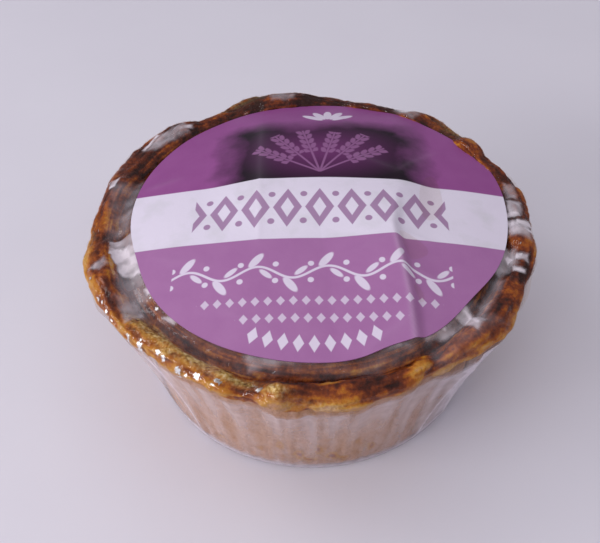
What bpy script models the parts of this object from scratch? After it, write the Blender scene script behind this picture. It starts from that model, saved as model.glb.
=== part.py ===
"""A round deep savoury pie, tightly wrapped in clear film, with a round paper label on the film.

The film is drawn tight over the whole pie, so the pie and its film are one solid: a domed lid, a
groove that the film spans, a rolled rim with lobes, lumps and flakes, and a tapering side down to a
flat base. The label is a thin sheet that lies on the lid and shares its folds.

Sizes are millimetres and become metres where a point is placed. The pie rests on z = 0 with its
axis on Z, and the label is read from the front, which is -Y. Azimuths are degrees, counted from +X
(right) towards +Y (back).
"""
import math

import bpy

MM = 0.001

# Points round the pie, and rings across each part of it.
STEPS = 120
LID_RINGS = 9
GROOVE_RINGS = 3
SIDE_RINGS = 8
ROLL_ANGLES = (0, 22, 44, 66, 86, 105)

# The label, and the lid below it, whose middle is a little right of and behind the pie's axis.
LABEL_RADIUS = 49.5
LABEL_CENTRE = (2.0, 2.5)
LABEL_TURN = -2.0
LABEL_TOP = 52.0
LABEL_THICKNESS = 0.35
LABEL_GAP = 0.3
DROP_ACROSS = 5.1
DROP_UP = 6.3

# The label's fold: the place of its crest across the label at four heights up the label.
FOLD_LINE = ((-47.9, 23.0), (-31.4, 21.9), (-11.5, 19.0), (9.7, 21.8))
FOLD_RISE = 2.5
FOLD_RUN_UP = 18.0
FOLD_DROP_WIDTH = 4.0
FOLD_REST = 0.25

# The raised middle of the label, between a soft bend on the left and the fold on the right.
PLATEAU_LEFT = (-31.0, -13.0)
PLATEAU_RIGHT_WIDTH = 11.0
PLATEAU_RISE = 2.1
PLATEAU_RISE_FRONT = 0.5

# The rolled rim: mean sizes, then what makes it uneven.
CREST_RADIUS = 54.0
CREST_HEIGHT = 46.8
CREST_FOLLOWS = 0.25
RIM_RADIUS = 58.3
RIM_HEIGHT = 44.0
GROOVE_SAG = 0.22
CRIMPS = 22
CRIMP_RISE = 0.35

# Lobes of the rim's outline: azimuth, width in degrees, reach outwards.
RIM_LOBES = (
    (90, 55, 0.8), (270, 50, -1.5), (12, 9, 1.2), (24, 5, -1.6), (49, 8, 1.8), (67, 13, -3.0),
    (88, 6, 0.8), (107, 10, 2.8), (121, 6, -2.6), (136, 7, 2.0), (148, 8, 3.1), (160, 6, 1.0),
    (194, 7, 1.0), (232, 18, -1.2), (278, 7, 1.2), (300, 8, -1.2), (318, 6, 1.6), (332, 7, 1.0),
    (347, 6, 0.6),
)

# Lumps and dips along the rim's crest: azimuth, width in degrees, rise.
RIM_LUMPS = (
    (10, 7, -0.7), (28, 9, 1.2), (45, 6, -0.9), (62, 7, 0.8), (80, 8, -0.8), (97, 9, 1.2),
    (115, 6, -1.0), (131, 7, 1.2), (149, 6, -1.1), (166, 9, 1.0), (183, 6, -0.9), (199, 8, 1.1),
    (216, 6, -1.0), (233, 8, 1.1), (250, 6, -0.9), (265, 5, 1.6), (284, 8, 0.9), (298, 6, -0.9),
    (309, 5, 1.3), (322, 7, 1.2), (338, 6, -0.9), (352, 8, 1.0),
)

# Flakes and drips of crust under the rim: azimuth, width in degrees, height, tallness, reach.
RIM_FLAKES = (
    (265, 4, 41.0, 2.6, 1.3), (306, 4, 39.5, 3.0, 1.4), (345, 5, 39.5, 3.2, 1.2),
    (205, 5, 40.5, 2.5, 0.9), (168, 5, 40.0, 2.8, 1.0), (118, 5, 39.5, 2.8, 1.1),
    (70, 5, 40.0, 2.8, 0.9), (30, 5, 39.5, 3.0, 1.1),
)

# The side, where the film runs straight from the rim to the base.
BASE_RADIUS = 47.0
BASE_EDGE_HEIGHT = 0.8
BASE_EDGE_INSET = 1.2
SIDE_HOLLOW = 0.8

# Pleats of the film down the side: azimuth at the rim, azimuth at the base, width, height.
FILM_PLEATS = (
    (313, 304, 3, 0.9), (310, 317, 3, 0.8), (228, 231, 3, 0.6), (186, 180, 4, 0.6),
    (141, 148, 4, 0.8), (98, 92, 3, 0.7), (55, 63, 4, 0.8), (16, 8, 3, 0.7),
)
PLEAT_FOOT = 5.0


def mix(start, end, share):
    """Return the value that lies a share of the way from start to end."""
    return start + (end - start) * share


def smooth(start, end, value):
    """Return 0 before start and 1 after end, with a smooth rise between."""
    share = min(max((value - start) / (end - start), 0.0), 1.0)
    return share * share * (3.0 - 2.0 * share)


def hump(azimuth, centre, width):
    """Return a bump that is 1 at its centre and fades over the width, either way round."""
    away = (azimuth - centre + 180.0) % 360.0 - 180.0
    return math.exp(-(away / width) ** 2)


def round_trip():
    """Return the azimuths of the points of one ring."""
    return [360.0 * step / STEPS for step in range(STEPS)]


def fold_place(up):
    """Return how far across the label the fold's crest lies, at a height up the label."""
    if up <= FOLD_LINE[0][0]:
        return FOLD_LINE[0][1]
    for (low, low_place), (high, high_place) in zip(FOLD_LINE, FOLD_LINE[1:]):
        if up <= high:
            return mix(low_place, high_place, (up - low) / (high - low))
    return FOLD_LINE[-1][1]


def fold_rise(across, up):
    """Return the rise of the label's fold: a slow climb from the left and a quick drop."""
    past = across - fold_place(up)
    if past < 0.0:
        form = max(1.0 + past / FOLD_RUN_UP, 0.0) ** 1.3
    else:
        form = mix(1.0, FOLD_REST, smooth(0.0, FOLD_DROP_WIDTH, past))
        form *= 1.0 - 0.5 * smooth(10.0, 40.0, past)
    along = (1.0 - smooth(-8.0, 12.0, up)) * mix(0.65, 1.0, smooth(-50.0, -20.0, up))
    return FOLD_RISE * form * along


def plateau_rise(across, up):
    """Return the rise of the label's flat middle above the dome."""
    right = fold_place(up)
    form = smooth(*PLATEAU_LEFT, across) * (1.0 - smooth(right, right + PLATEAU_RIGHT_WIDTH, across))
    height = mix(PLATEAU_RISE_FRONT, PLATEAU_RISE, smooth(-14.0, 2.0, up))
    return height * form * (1.0 - smooth(30.0, 50.0, up))


def lid_point(radius, azimuth):
    """Return the film's point on the lid, at a distance and a direction from the label's middle."""
    angle = math.radians(azimuth)
    turned = math.radians(azimuth - LABEL_TURN)
    across = radius * math.cos(turned)
    up = radius * math.sin(turned)
    height = LABEL_TOP - LABEL_THICKNESS - LABEL_GAP
    height -= DROP_ACROSS * (across / LABEL_RADIUS) ** 2 + DROP_UP * (up / LABEL_RADIUS) ** 2
    height += plateau_rise(across, up) + fold_rise(across, up)
    x = LABEL_CENTRE[0] + radius * math.cos(angle)
    y = LABEL_CENTRE[1] + radius * math.sin(angle)
    return (x, y, height)


def lid_ring(radius):
    """Return one ring of the lid, round the label's middle."""
    return [lid_point(radius, azimuth) for azimuth in round_trip()]


def lid_rings():
    """Return the lid's rings from the middle to the label's edge."""
    rings = [[lid_point(0.0, 0.0)]]
    for ring in range(1, LID_RINGS + 1):
        rings.append(lid_ring(LABEL_RADIUS * (ring / LID_RINGS) ** 0.9))
    return rings


def rim_reach(azimuth):
    """Return how far the rim's lobes reach past its mean radius."""
    return sum(reach * hump(azimuth, centre, width) for centre, width, reach in RIM_LOBES)


def crest_rise(azimuth):
    """Return how far the rim's crest stands above its mean height."""
    lumps = sum(rise * hump(azimuth, centre, width) for centre, width, rise in RIM_LUMPS)
    angle = math.radians(azimuth)
    return lumps + CRIMP_RISE * math.sin(CRIMPS * angle + 1.7 * math.sin(3.0 * angle))


def around(radius, azimuth, height):
    """Return a point at a radius and an azimuth from the pie's axis."""
    angle = math.radians(azimuth)
    return (radius * math.cos(angle), radius * math.sin(angle), height)


def roll_point(azimuth, roll):
    """Return a point on the rolled rim, with the roll's angle counted outwards from its crest."""
    crest = CREST_RADIUS + CREST_FOLLOWS * rim_reach(azimuth)
    reach = RIM_RADIUS + rim_reach(azimuth) - crest
    rise = CREST_HEIGHT + crest_rise(azimuth) - RIM_HEIGHT
    angle = math.radians(roll)
    return around(crest + reach * math.sin(angle), azimuth, RIM_HEIGHT + rise * math.cos(angle))


def groove_ring(share):
    """Return one ring of the film that spans the groove, between the lid and the rim's crest."""
    ring = []
    for azimuth in round_trip():
        inner = lid_point(LABEL_RADIUS, azimuth)
        outer = roll_point(azimuth, 0.0)
        sag = GROOVE_SAG * math.dist(inner[:2], outer[:2]) * 4.0 * share * (1.0 - share)
        height = mix(inner[2], outer[2], smooth(0.0, 1.0, share)) - sag
        ring.append((mix(inner[0], outer[0], share), mix(inner[1], outer[1], share), height))
    return ring


def flake_reach(azimuth, height):
    """Return how far the flakes under the rim push the film out."""
    reach = 0.0
    for centre, width, middle, tallness, rise in RIM_FLAKES:
        reach += rise * hump(azimuth, centre, width) * math.exp(-((height - middle) / tallness) ** 2)
    return reach


def pleat_reach(azimuth, height):
    """Return how far the film's pleats stand out of the side."""
    reach = 0.0
    for at_rim, at_base, width, rise in FILM_PLEATS:
        centre = mix(at_base, at_rim, height / RIM_HEIGHT)
        reach += rise * hump(azimuth, centre, width)
    return reach * smooth(0.0, PLEAT_FOOT, height) * (1.0 - smooth(RIM_HEIGHT - 6.0, RIM_HEIGHT, height))


def side_ring(share):
    """Return one ring of the side, a share of the way from the rim's underside to the base."""
    ring = []
    for azimuth in round_trip():
        top = roll_point(azimuth, ROLL_ANGLES[-1])
        radius = mix(math.hypot(top[0], top[1]), BASE_RADIUS, share)
        height = mix(top[2], BASE_EDGE_HEIGHT, share)
        radius -= SIDE_HOLLOW * 4.0 * share * (1.0 - share)
        radius += flake_reach(azimuth, height) + pleat_reach(azimuth, height)
        ring.append(around(radius, azimuth, height))
    return ring


def wrapped_rings():
    """Return every ring of the wrapped pie, from the lid's middle round to the base's middle."""
    rings = lid_rings()
    for ring in range(1, GROOVE_RINGS + 1):
        rings.append(groove_ring(ring / (GROOVE_RINGS + 1)))
    for roll in ROLL_ANGLES:
        rings.append([roll_point(azimuth, roll) for azimuth in round_trip()])
    for ring in range(1, SIDE_RINGS + 1):
        rings.append(side_ring((ring / SIDE_RINGS) ** 1.3))
    rings.append([around(BASE_RADIUS - BASE_EDGE_INSET, azimuth, 0.0) for azimuth in round_trip()])
    rings.append([(0.0, 0.0, 0.0)])
    return rings


def loft(name, rings):
    """Join rings that run outwards and down into one skin, facing out. The ends may be points."""
    vertices = []
    starts = []
    for ring in rings:
        starts.append(len(vertices))
        vertices.extend([(x * MM, y * MM, z * MM) for x, y, z in ring])
    faces = []
    for index in range(len(rings) - 1):
        inner, outer = starts[index], starts[index + 1]
        for step in range(STEPS):
            after = (step + 1) % STEPS
            if len(rings[index]) == 1:
                faces.append((inner, outer + step, outer + after))
            elif len(rings[index + 1]) == 1:
                faces.append((inner + step, outer, inner + after))
            else:
                faces.append((inner + step, outer + step, outer + after, inner + after))
    mesh = bpy.data.meshes.new(name)
    mesh.from_pydata(vertices, [], faces)
    mesh.validate()
    mesh.shade_smooth()
    return bpy.data.objects.new(name, mesh)


def triangulate(part):
    """Split the faces across the same corners on every part, so that sheets lie parallel."""
    split = part.modifiers.new("Triangulate", "TRIANGULATE")
    split.quad_method = "FIXED"


def finish(part, colour, roughness):
    """Give a part its own material."""
    material = bpy.data.materials.new(part.name)
    material.use_nodes = True
    surface = material.node_tree.nodes["Principled BSDF"]
    surface.inputs["Base Color"].default_value = (*colour, 1.0)
    surface.inputs["Roughness"].default_value = roughness
    surface.inputs["Metallic"].default_value = 0.0
    part.data.materials.append(material)


def wrapped_pie():
    """Make the pie in its tight film."""
    part = loft("wrapped_pie", wrapped_rings())
    triangulate(part)
    finish(part, (0.25, 0.11, 0.045), 0.25)
    return part


def label():
    """Make the paper label, which lies just above the lid and shares its folds."""
    rings = [[(x, y, z + LABEL_GAP) for x, y, z in ring] for ring in lid_rings()]
    part = loft("label", rings)
    triangulate(part)
    shell = part.modifiers.new("Solidify", "SOLIDIFY")
    shell.thickness = LABEL_THICKNESS * MM
    shell.offset = 1.0
    finish(part, (0.33, 0.12, 0.31), 0.4)
    return part


def main():
    """Build the pie in a collection of its own."""
    for leftover in list(bpy.data.objects):
        bpy.data.objects.remove(leftover)
    pie = bpy.data.collections.new("film_wrapped_pie")
    bpy.context.scene.collection.children.link(pie)
    for part in (wrapped_pie(), label()):
        pie.objects.link(part)


main()
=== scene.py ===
"""The looks of a round savoury pie in tight clear film, with a paper label on top.

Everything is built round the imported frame: a detailed crust and a clear film stand for the wrapped
pie, and a creased paper sheet stands for the label. Sizes are millimetres and become metres where a
point is placed. Azimuths are degrees from +X (right) towards +Y (back), and -Y is the front.
"""
import functools
import math

import bpy
from mathutils import Matrix, Vector, noise


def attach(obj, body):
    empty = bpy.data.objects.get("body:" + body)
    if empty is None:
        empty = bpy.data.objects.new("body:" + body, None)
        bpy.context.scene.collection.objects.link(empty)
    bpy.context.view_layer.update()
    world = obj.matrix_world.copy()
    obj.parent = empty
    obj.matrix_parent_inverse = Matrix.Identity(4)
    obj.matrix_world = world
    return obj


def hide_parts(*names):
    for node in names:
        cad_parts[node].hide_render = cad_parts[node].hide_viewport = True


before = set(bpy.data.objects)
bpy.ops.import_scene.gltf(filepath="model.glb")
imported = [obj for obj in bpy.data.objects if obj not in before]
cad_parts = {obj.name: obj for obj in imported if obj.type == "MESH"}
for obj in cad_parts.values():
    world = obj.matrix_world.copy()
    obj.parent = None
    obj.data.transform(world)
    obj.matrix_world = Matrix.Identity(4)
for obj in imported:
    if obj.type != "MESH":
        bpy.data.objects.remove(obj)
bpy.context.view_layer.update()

MM = 0.001

# The label and the lid below it, as the frame has them.
LABEL_RADIUS = 49.5
LABEL_CENTRE = (2.0, 2.5)
LABEL_TURN = -2.0
LABEL_TOP = 52.0
DROP_ACROSS = 5.1
DROP_UP = 6.3
FOLD_LINE = ((-47.9, 23.0), (-31.4, 21.9), (-11.5, 19.0), (9.7, 21.8))
FOLD_RISE = 2.5
FOLD_RUN_UP = 18.0
FOLD_DROP_WIDTH = 2.8
FOLD_REST = 0.25
PLATEAU_LEFT = (-31.0, -13.0)
PLATEAU_RIGHT_WIDTH = 11.0
PLATEAU_RISE = 2.1
PLATEAU_RISE_FRONT = 0.5

# The rim and the side, as the frame has them.
CREST_RADIUS = 54.0
CREST_HEIGHT = 46.8
CREST_FOLLOWS = 0.25
RIM_RADIUS = 58.3
RIM_HEIGHT = 44.0
ROLL_END = 105.0
GROOVE_SAG = 0.22
CRIMPS = 22
CRIMP_RISE = 0.35
BASE_RADIUS = 47.0
BASE_EDGE_HEIGHT = 0.8
BASE_EDGE_INSET = 1.2
SIDE_HOLLOW = 0.8
PLEAT_FOOT = 5.0
RIM_LOBES = (
    (90, 55, 0.8), (270, 50, -1.5), (12, 9, 1.2), (24, 5, -1.6), (49, 8, 1.8), (67, 13, -3),
    (88, 6, 0.8), (107, 10, 2.8), (121, 6, -2.6), (136, 7, 2), (148, 8, 3.1), (160, 6, 1),
    (194, 7, 1), (232, 18, -1.2), (278, 7, 1.2), (300, 8, -1.2), (318, 6, 1.6), (332, 7, 1),
    (347, 6, 0.6),
)
RIM_LUMPS = (
    (10, 7, -0.7), (28, 9, 1.2), (45, 6, -0.9), (62, 7, 0.8), (80, 8, -0.8), (97, 9, 1.2),
    (115, 6, -1), (131, 7, 1.2), (149, 6, -1.1), (166, 9, 1), (183, 6, -0.9), (199, 8, 1.1),
    (216, 6, -1), (233, 8, 1.1), (250, 6, -0.9), (265, 5, 1.6), (284, 8, 0.9), (298, 6, -0.9),
    (309, 5, 1.3), (322, 7, 1.2), (338, 6, -0.9), (352, 8, 1),
)
RIM_FLAKES = (
    (265, 4, 41, 2.6, 1.3), (306, 4, 39.5, 3, 1.4), (345, 5, 39.5, 3.2, 1.2),
    (205, 5, 40.5, 2.5, 0.9), (168, 5, 40, 2.8, 1), (118, 5, 39.5, 2.8, 1.1),
    (70, 5, 40, 2.8, 0.9), (30, 5, 39.5, 3, 1.1),
)
FILM_PLEATS = (
    (313, 304, 3, 0.9), (310, 317, 3, 0.8), (228, 231, 3, 0.6), (186, 180, 4, 0.6),
    (141, 148, 4, 0.8), (98, 92, 3, 0.7), (55, 63, 4, 0.8), (16, 8, 3, 0.7),
)

# The crust's section has numbered stations, from the lid's middle over the rim to the base.
LID_EDGE = 4
GROOVE = 5
CREST = 7
LIP = 10
WALL_TOP = 12
FOOT = 15
CRUST_STEPS = 720
CRUST_RINGS = (
    (0, 3, 5), (3, 5, 16), (5, 7, 22), (7, 9, 20), (9, 10, 9), (10, 12, 12), (12, 15, 36),
    (15, 17, 6), (17, 18, 1),
)
CRUST_INSET = 0.35
WALL_STATION = 12.3
RIB_COUNT = 128
RIB_RISE = 0.07
CRUMB_RISE = 0.34
BUBBLE_ARC = (228, 34)
BUBBLE_RISE = 0.60
FLAKE_SHARE = 0.85
# How much darker the crust is painted in its hollows, and paler on its raised places: painted shade.
RELIEF_SHADING = 0.35
RIM_VALLEY_DEPTH = 0.7
RIM_VALLEY_OFFSET = 1.6

# Where a form starts to rise, is whole, starts to fade and has gone: by station, and for the rim's
# folds by the share of the way from the groove to the lip.
BUBBLE_WINDOW = (7.4, 8.2, 9.6, 10.2)
FLAKE_WINDOW = (8.8, 9.6, 9.7, 10.5)
RIM_FOLD_WINDOW = (0.05, 0.3, 0.85, 1.15)

# Layers of noise: strength, size along the rim, size across it, seed.
RIM_GRAINS = ((0.42, 8.0, 1.5, 3.1), (0.28, 3.0, 1.2, 17.3), (0.22, 1.3, 1.1, 41.7))
BUBBLE_GRAINS = ((1.0, 2.4, 2.0, 33.1), (0.4, 1.1, 1.1, 51.9))
WALL_GRAINS = ((0.16, 1.6, 2.6, 63.3), (0.35, 12.0, 12.0, 71.1))
RIM_BAKE_GRAINS = ((0.24, 7.0, 0.40, 55.3), (0.16, 2.6, 0.8, 77.7))
WALL_BAKE_GRAINS = ((0.10, 3.4, 3.4, 19.1), (0.07, 1.2, 1.4, 31.7))
GROOVE_STREAKS = ((0.28, 9.0, 0.16, 29.1),)
GROOVE_FILM_GRAINS = ((0.22, 3.2, 5.0, 5.5), (0.26, 1.6, 9.0, 8.8))

# Places where the crust stands back from the film at the lip: azimuth, width in degrees, gap.
CRUST_DENTS = ((333, 6, 1.4), (305, 5, 0.5), (150, 5, 0.5), (22, 5, 0.6), (117, 6, 0.6))

# Folds that cross the rim: azimuth at the groove, azimuth at the lip, width, rise.
RIM_FOLDS = (
    (301, 290, 2.6, 0.9), (318, 309, 3, 0.5), (336, 328, 3, 0.6), (352, 347, 3.5, 0.5),
    (14, 7, 3, 0.7), (34, 30, 3.5, 0.6), (57, 50, 3, 0.7), (84, 80, 3.5, 0.5),
    (104, 96, 3, 0.7), (124, 119, 3, 0.5), (142, 139, 3, 0.4), (163, 157, 3.5, 0.4),
    (181, 177, 3, 0.35), (198, 204, 3, 0.3), (215, 221, 2.5, 0.2), (229, 234, 2.5, 0.2),
    (245, 250, 3, 0.25), (272, 278, 4, 0.3),
)

# Lumps of crust: azimuth, station, width in degrees, width in stations, rise.
CRUST_LUMPS = (
    (261.3, 8.7, 3.7, 0.9, 1.5), (261, 7.7, 2.8, 0.6, 1.2), (264.5, 6.2, 2.8, 0.7, -1.2),
    (272, 9, 3.6, 0.5, 0.5), (281, 9.1, 3, 0.45, 0.3), (289, 8, 3.5, 0.4, -0.4),
    (296, 7.5, 3.6, 0.6, 0.8), (302, 9.9, 3, 0.6, 0.8), (309, 8, 6, 0.6, 0.4),
    (324, 9.4, 4, 0.6, 0.5), (188, 9, 6, 0.8, 0.3), (238, 6.3, 14, 0.5, 0.3),
    (236, 5, 19, 0.25, 0.45), (217, 8, 5, 0.6, 0.3), (247, 8.6, 4, 0.7, 0.35),
)

# How baked each station is, from 0, pale, to 1, nearly burnt.
STATION_BAKE = (
    0.66, 0.66, 0.66, 0.66, 0.68, 0.74, 0.70, 0.71, 0.64, 0.53, 0.48, 0.30, 0.10, 0.06, 0.06, 0.08,
    0.04, 0.04, 0.04,
)

# Patches of the crust: azimuth, station, width in degrees, width in stations, change in bake. Two are
# painted light, marked below.
BAKE_AND_SHADE_PATCHES = (
    (88, 7.5, 48, 3.5, 0.26), (350, 7.5, 22, 2.5, 0.14), (152, 7.5, 14, 2, 0.14),
    (188, 8.9, 9, 0.7, -0.24), (215, 8.9, 15, 0.7, -0.08), (240, 8.9, 13, 0.7, -0.1),
    (204, 6.6, 20, 0.6, -0.12), (261.3, 8.9, 3.8, 0.9, -0.16), (272, 9, 5, 0.55, -0.3),
    (283, 9.2, 4, 0.5, -0.12), (296, 7.4, 3.6, 0.7, -0.26), (302, 10, 3, 0.7, -0.16),
    (312, 7.6, 8, 0.8, 0.04), (325, 9.5, 5, 0.7, -0.14), (284, 7.2, 9, 0.8, 0.1),
    # The patch at 264.5 paints the hole beside the golden lump nearly black: painted shade.
    (264.5, 6.2, 2.8, 0.7, 0.95), (168, 5.4, 22, 1.4, -0.12), (238, 4.8, 14, 0.15, -0.1),
    (226, 5.6, 22, 0.8, -0.06), (272, 5.6, 34, 0.25, 0.14), (272, 6.4, 30, 0.2, -0.1),
    # The patch at 229 makes the lower left of the rim paler, where highlights fall: painted highlight.
    (229, 8.4, 20, 2, -0.16), (338, 8.4, 9, 1.6, 0.12), (18, 9, 14, 1.4, 0.12),
    (231, 6.3, 18, 0.9, -0.12),
)

# Baked spots near the foot of the wall: azimuth, station, width in degrees, height in stations, rise.
BAKE_SPOTS = (
    (265, 14.6, 1.6, 0.22, 0.52), (271, 14.4, 1.3, 0.18, 0.46), (275, 14.7, 1.5, 0.15, 0.52),
    (288, 14.6, 1.4, 0.15, 0.5), (268, 14.9, 2.5, 0.1, 0.44), (279, 14.9, 2, 0.1, 0.4),
    (238, 14.8, 1.6, 0.15, 0.34), (216, 14.7, 1.5, 0.18, 0.4), (305, 14.8, 1.6, 0.12, 0.4),
    (333, 14.7, 1.6, 0.15, 0.4), (12, 14.8, 1.8, 0.15, 0.44), (47, 14.7, 1.5, 0.2, 0.4),
    (83, 14.8, 2, 0.15, 0.48), (121, 14.7, 1.6, 0.2, 0.4), (166, 14.8, 1.8, 0.15, 0.44),
    (259, 14.2, 1.2, 0.15, 0.3), (283, 14.2, 1.2, 0.12, 0.26), (252, 14.6, 1.4, 0.12, 0.3),
)

# Dry crumbly patches: azimuth, station, width in degrees, width in stations, amount.
CRUMB_PATCHES = (
    (218, 6.4, 4, 0.9, 0.9), (228, 6.4, 6, 0.9, 1), (239, 6.5, 5, 0.9, 1), (248, 6.7, 3, 0.7, 0.9),
    (233, 7.6, 2, 0.5, 0.6), (224, 5.2, 4, 0.4, 0.6), (243, 5.3, 3, 0.3, 0.6), (253, 7, 3, 0.5, 0.7),
    (261, 7.7, 2.6, 0.4, 0.9), (188, 8.8, 7, 0.7, 0.5), (272, 8.8, 5, 0.4, 0.5),
    (302, 10, 3, 0.6, 0.7), (325, 9.6, 5, 0.6, 0.4), (40, 8.5, 6, 0.8, 0.4), (110, 8.6, 7, 0.8, 0.4),
)

FILM_LID_RADII = (12.0, 24.0, 36.0, 44.0, 45.5, 46.5, 47.5, 48.5, 49.5)
FILM_GROOVE_RINGS = 20
FILM_ROLL_RINGS = 26
FILM_SIDE_RINGS = 44
FILM_SIDE_CROWDING = 1.2
FILM_GAP = 0.16
FILM_SINK = -0.3
RIDGE_REACH = 0.45
HUG_REACH = 0.35
PLEAT_SHARPNESS = 0.45
PLEAT_VALLEY_DEPTH = 0.35
PLEAT_HEAD = 6.0

# How milky the film's side is: all over, in streaks, higher up, at the foot, along the pleats, and at
# the creased stretch, which has its middle and its width in degrees.
SIDE_MILK = 0.11
STREAK_MILK = 0.16
UPPER_MILK = 0.10
FOOT_MILK = 0.40
PLEAT_MILK = 0.35
CREASED_MILK = 0.32
CREASED_STRETCH = (322.0, 18.0)

# Facets of the creased film, partly milky film and partly painted reflections: strength, softness in
# mm, then corners by azimuth and radius. They fade between two angles of the roll.
FACETS_FADE = (70.0, 95.0)
MILK_AND_REFLECTION_FACETS = (
    (0.55, 0.3, (186, 52.5), (184, 45), (192, 45), (191, 51.5)),
    (1.0, 0.3, (188.5, 52.2), (190, 44), (193, 44), (191.5, 52.2)),
    (0.9, 0.5, (190, 52), (192, 44), (204, 44.5), (201, 50.5)),
    (0.45, 0.6, (196, 57), (193, 53.5), (196, 52.5), (198, 55)),
    (0.3, 1.4, (200, 51.5), (202, 45), (215, 45.5), (212, 53)),
    (0.42, 0.8, (208, 53.5), (210, 49), (217, 50.5), (217, 55)),
    (0.95, 0.4, (209.5, 46.8), (210, 45), (213, 45), (212, 46.8)),
    (0.8, 0.4, (222, 47.2), (225, 45), (229, 45), (226, 47)),
    (0.95, 0.4, (163, 57), (161, 55.4), (165, 55), (166, 56.2)),
    (0.4, 0.9, (146, 57), (138, 58), (131, 55.5), (132, 52.5), (144, 54.5)),
    (0.85, 0.4, (146, 58), (139, 59), (139, 58.2), (146, 57.2)),
    (0.8, 0.4, (133, 55), (129, 54), (130, 52.8), (134, 54)),
    (0.2, 2, (165, 55.5), (160, 49.5), (183, 46.5), (185, 52.5)),
    (0.34, 0.6, (13, 54.5), (12, 57.5), (6, 56), (7, 53.5)),
    (0.5, 0.6, (6, 53), (4, 56.5), (359, 55.5), (359, 52)),
    (1.0, 0.4, (0.5, 51.5), (0, 55), (358.5, 55), (358.5, 51.5)),
    (0.6, 0.9, (357, 51), (357, 57), (349, 56.5), (350, 52)),
    (0.9, 0.4, (357, 54), (356.5, 57.5), (355, 57.3), (355.5, 54)),
    (0.85, 0.4, (353, 55), (353, 57.5), (351.5, 57.5), (352, 55)),
    (0.42, 1, (345, 49), (345, 53), (341, 54), (334, 51), (335, 49)),
    (0.7, 0.4, (344, 53.5), (344.5, 56.5), (342.5, 56.5), (342.5, 53.5)),
    (0.7, 0.4, (340, 53), (340, 56.5), (338.5, 56.5), (338.5, 53.5)),
    (0.9, 0.4, (343, 51.5), (342, 53), (340.5, 52), (341.5, 51)),
    (0.26, 1, (333, 50.5), (333, 52.5), (318, 53.5), (317, 51)),
    (0.55, 0.9, (313, 46.5), (319, 47), (317.5, 54), (313.5, 54.5)),
    (0.9, 0.4, (317, 49), (318, 50), (316, 54), (314.5, 53.5)),
    (0.4, 1, (303, 45.5), (313, 46), (313, 51), (307, 50.5), (302, 48.5)),
    (0.9, 0.4, (308, 47.5), (309.5, 48.5), (308.5, 49.2), (307.5, 48.2)),
    (0.34, 1.2, (250, 46.5), (294, 45.5), (296, 48), (253, 49.5)),
    (0.08, 2, (208, 45), (208, 54), (246, 54), (246, 45)),
    (0.07, 2, (244, 45), (244, 52.5), (286, 52.5), (286, 45)),
    (0.1, 2, (284, 45), (284, 52), (322, 53.5), (322, 46)),
    (0.09, 1.5, (300, 51), (300, 56), (320, 57), (320, 52)),
    (0.3, 0.9, (60, 53.5), (60, 56.5), (52, 56), (53, 53)),
    (0.26, 0.9, (101, 54), (101, 57.5), (93, 57), (94, 54)),
)

# Places where a flat of the film throws the light back: azimuth, radius, length along the rim.
GLINT_SLIMNESS = 0.55
FILM_GLINTS = (
    (199.3, 57.7, 0.7), (205.6, 57.4, 0.6), (207.6, 57, 0.5), (210.2, 57, 0.7), (213.3, 57, 0.5),
    (220.7, 56.5, 0.6), (224.7, 56.1, 1), (224.5, 55.2, 0.6), (230.8, 55.3, 0.9), (232.8, 55.6, 0.6),
    (237.2, 55.8, 0.9), (239.4, 55.8, 0.6), (242.1, 55.3, 1), (246.7, 56, 0.5), (247.7, 55, 1.1),
    (257.6, 54.8, 1.1), (218, 47, 0.6), (213, 46.6, 0.5), (163.5, 57.2, 0.7), (190, 51, 1),
    (190.3, 49.5, 1), (190.6, 48, 0.9), (344, 54.6, 0.6), (347, 54.2, 0.5), (341, 52, 0.6),
)

LABEL_STEPS = 420
LABEL_RINGS = 84
PAPER_THICKNESS = 0.22
PAPER_LIFT = 0.14
SHEET_EDGE_ANGLE = 60.0

# Where the sheet's edge strays from its circle: azimuth, width in degrees, reach.
EDGE_WAVES = (
    (18, 18, 1.2), (289, 7, -1), (318, 12, -1.3), (262, 22, -0.5), (185, 25, -0.4), (199, 12, -0.9),
)

# Small creases of the paper: both ends across and up the label, rise, width.
PAPER_CREASES = (
    ((-16, 34), (-14, -16), 0.3, 1.6), ((21.8, 9.7), (33, 22), 0.25, 1),
    ((21.8, 9.7), (9, 17), 0.18, 1), ((19, -11.5), (30, -16), 0.22, 1),
    ((20.5, -22), (31, -28), 0.2, 1), ((19.5, -15), (9, -20), 0.18, 1.2),
    ((-47, 8), (-37, 11.5), 0.3, 0.9), ((-24, -34), (-10, -41), 0.16, 1.4),
    ((4, 46), (9, 30), 0.15, 1.6), ((36, -6), (47, 2), 0.22, 1.2),
    ((22.5, -38), (12, -46), 0.25, 1.2), ((-40, -18), (-26, -22), 0.15, 1.5),
)

VINE_WAVE = 17.0
VINE_SWING = 1.7

# The camera, as the photograph was taken.
CAMERA_PLACE = (0.0, -150.55, 186.44)
CAMERA_FORWARD = (-0.01334, 0.68535, -0.72809)
CAMERA_UP = (0.02851, 0.72812, 0.68485)
SENSOR_WIDTH = 36.0
CAMERA_LENS = 46.8

# The stage, in metres. Lights: name, place, size, power, colour, whether gloss shows them.
FLOOR_HALF = 2.5
FLOOR_LEVEL = -0.0002
LIGHT_TARGET = (0.0, 0.0, 0.04)
LIGHTS = (
    ("window", (-0.86, -0.28, 0.36), (0.42, 0.36), 3.0, (0.99, 0.98, 1.0), True),
    ("strip", (-0.69, -0.58, 0.45), (0.44, 0.16), 1.8, (1.0, 0.98, 0.97), True),
    ("fill", (0.90, -0.20, 0.50), (0.60, 0.60), 0.8, (1.0, 0.93, 0.84), False),
    ("skylight", (-0.95, 0.40, 1.10), (0.50, 0.50), 2.0, (1.0, 0.98, 1.0), True),
    ("ceiling", (-0.20, -0.10, 1.20), (2.0, 2.0), 9.8, (1.0, 0.98, 0.99), False),
)


def mix(start, end, share):
    """Return the value that lies a share of the way from start to end."""
    return start + (end - start) * share


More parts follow.
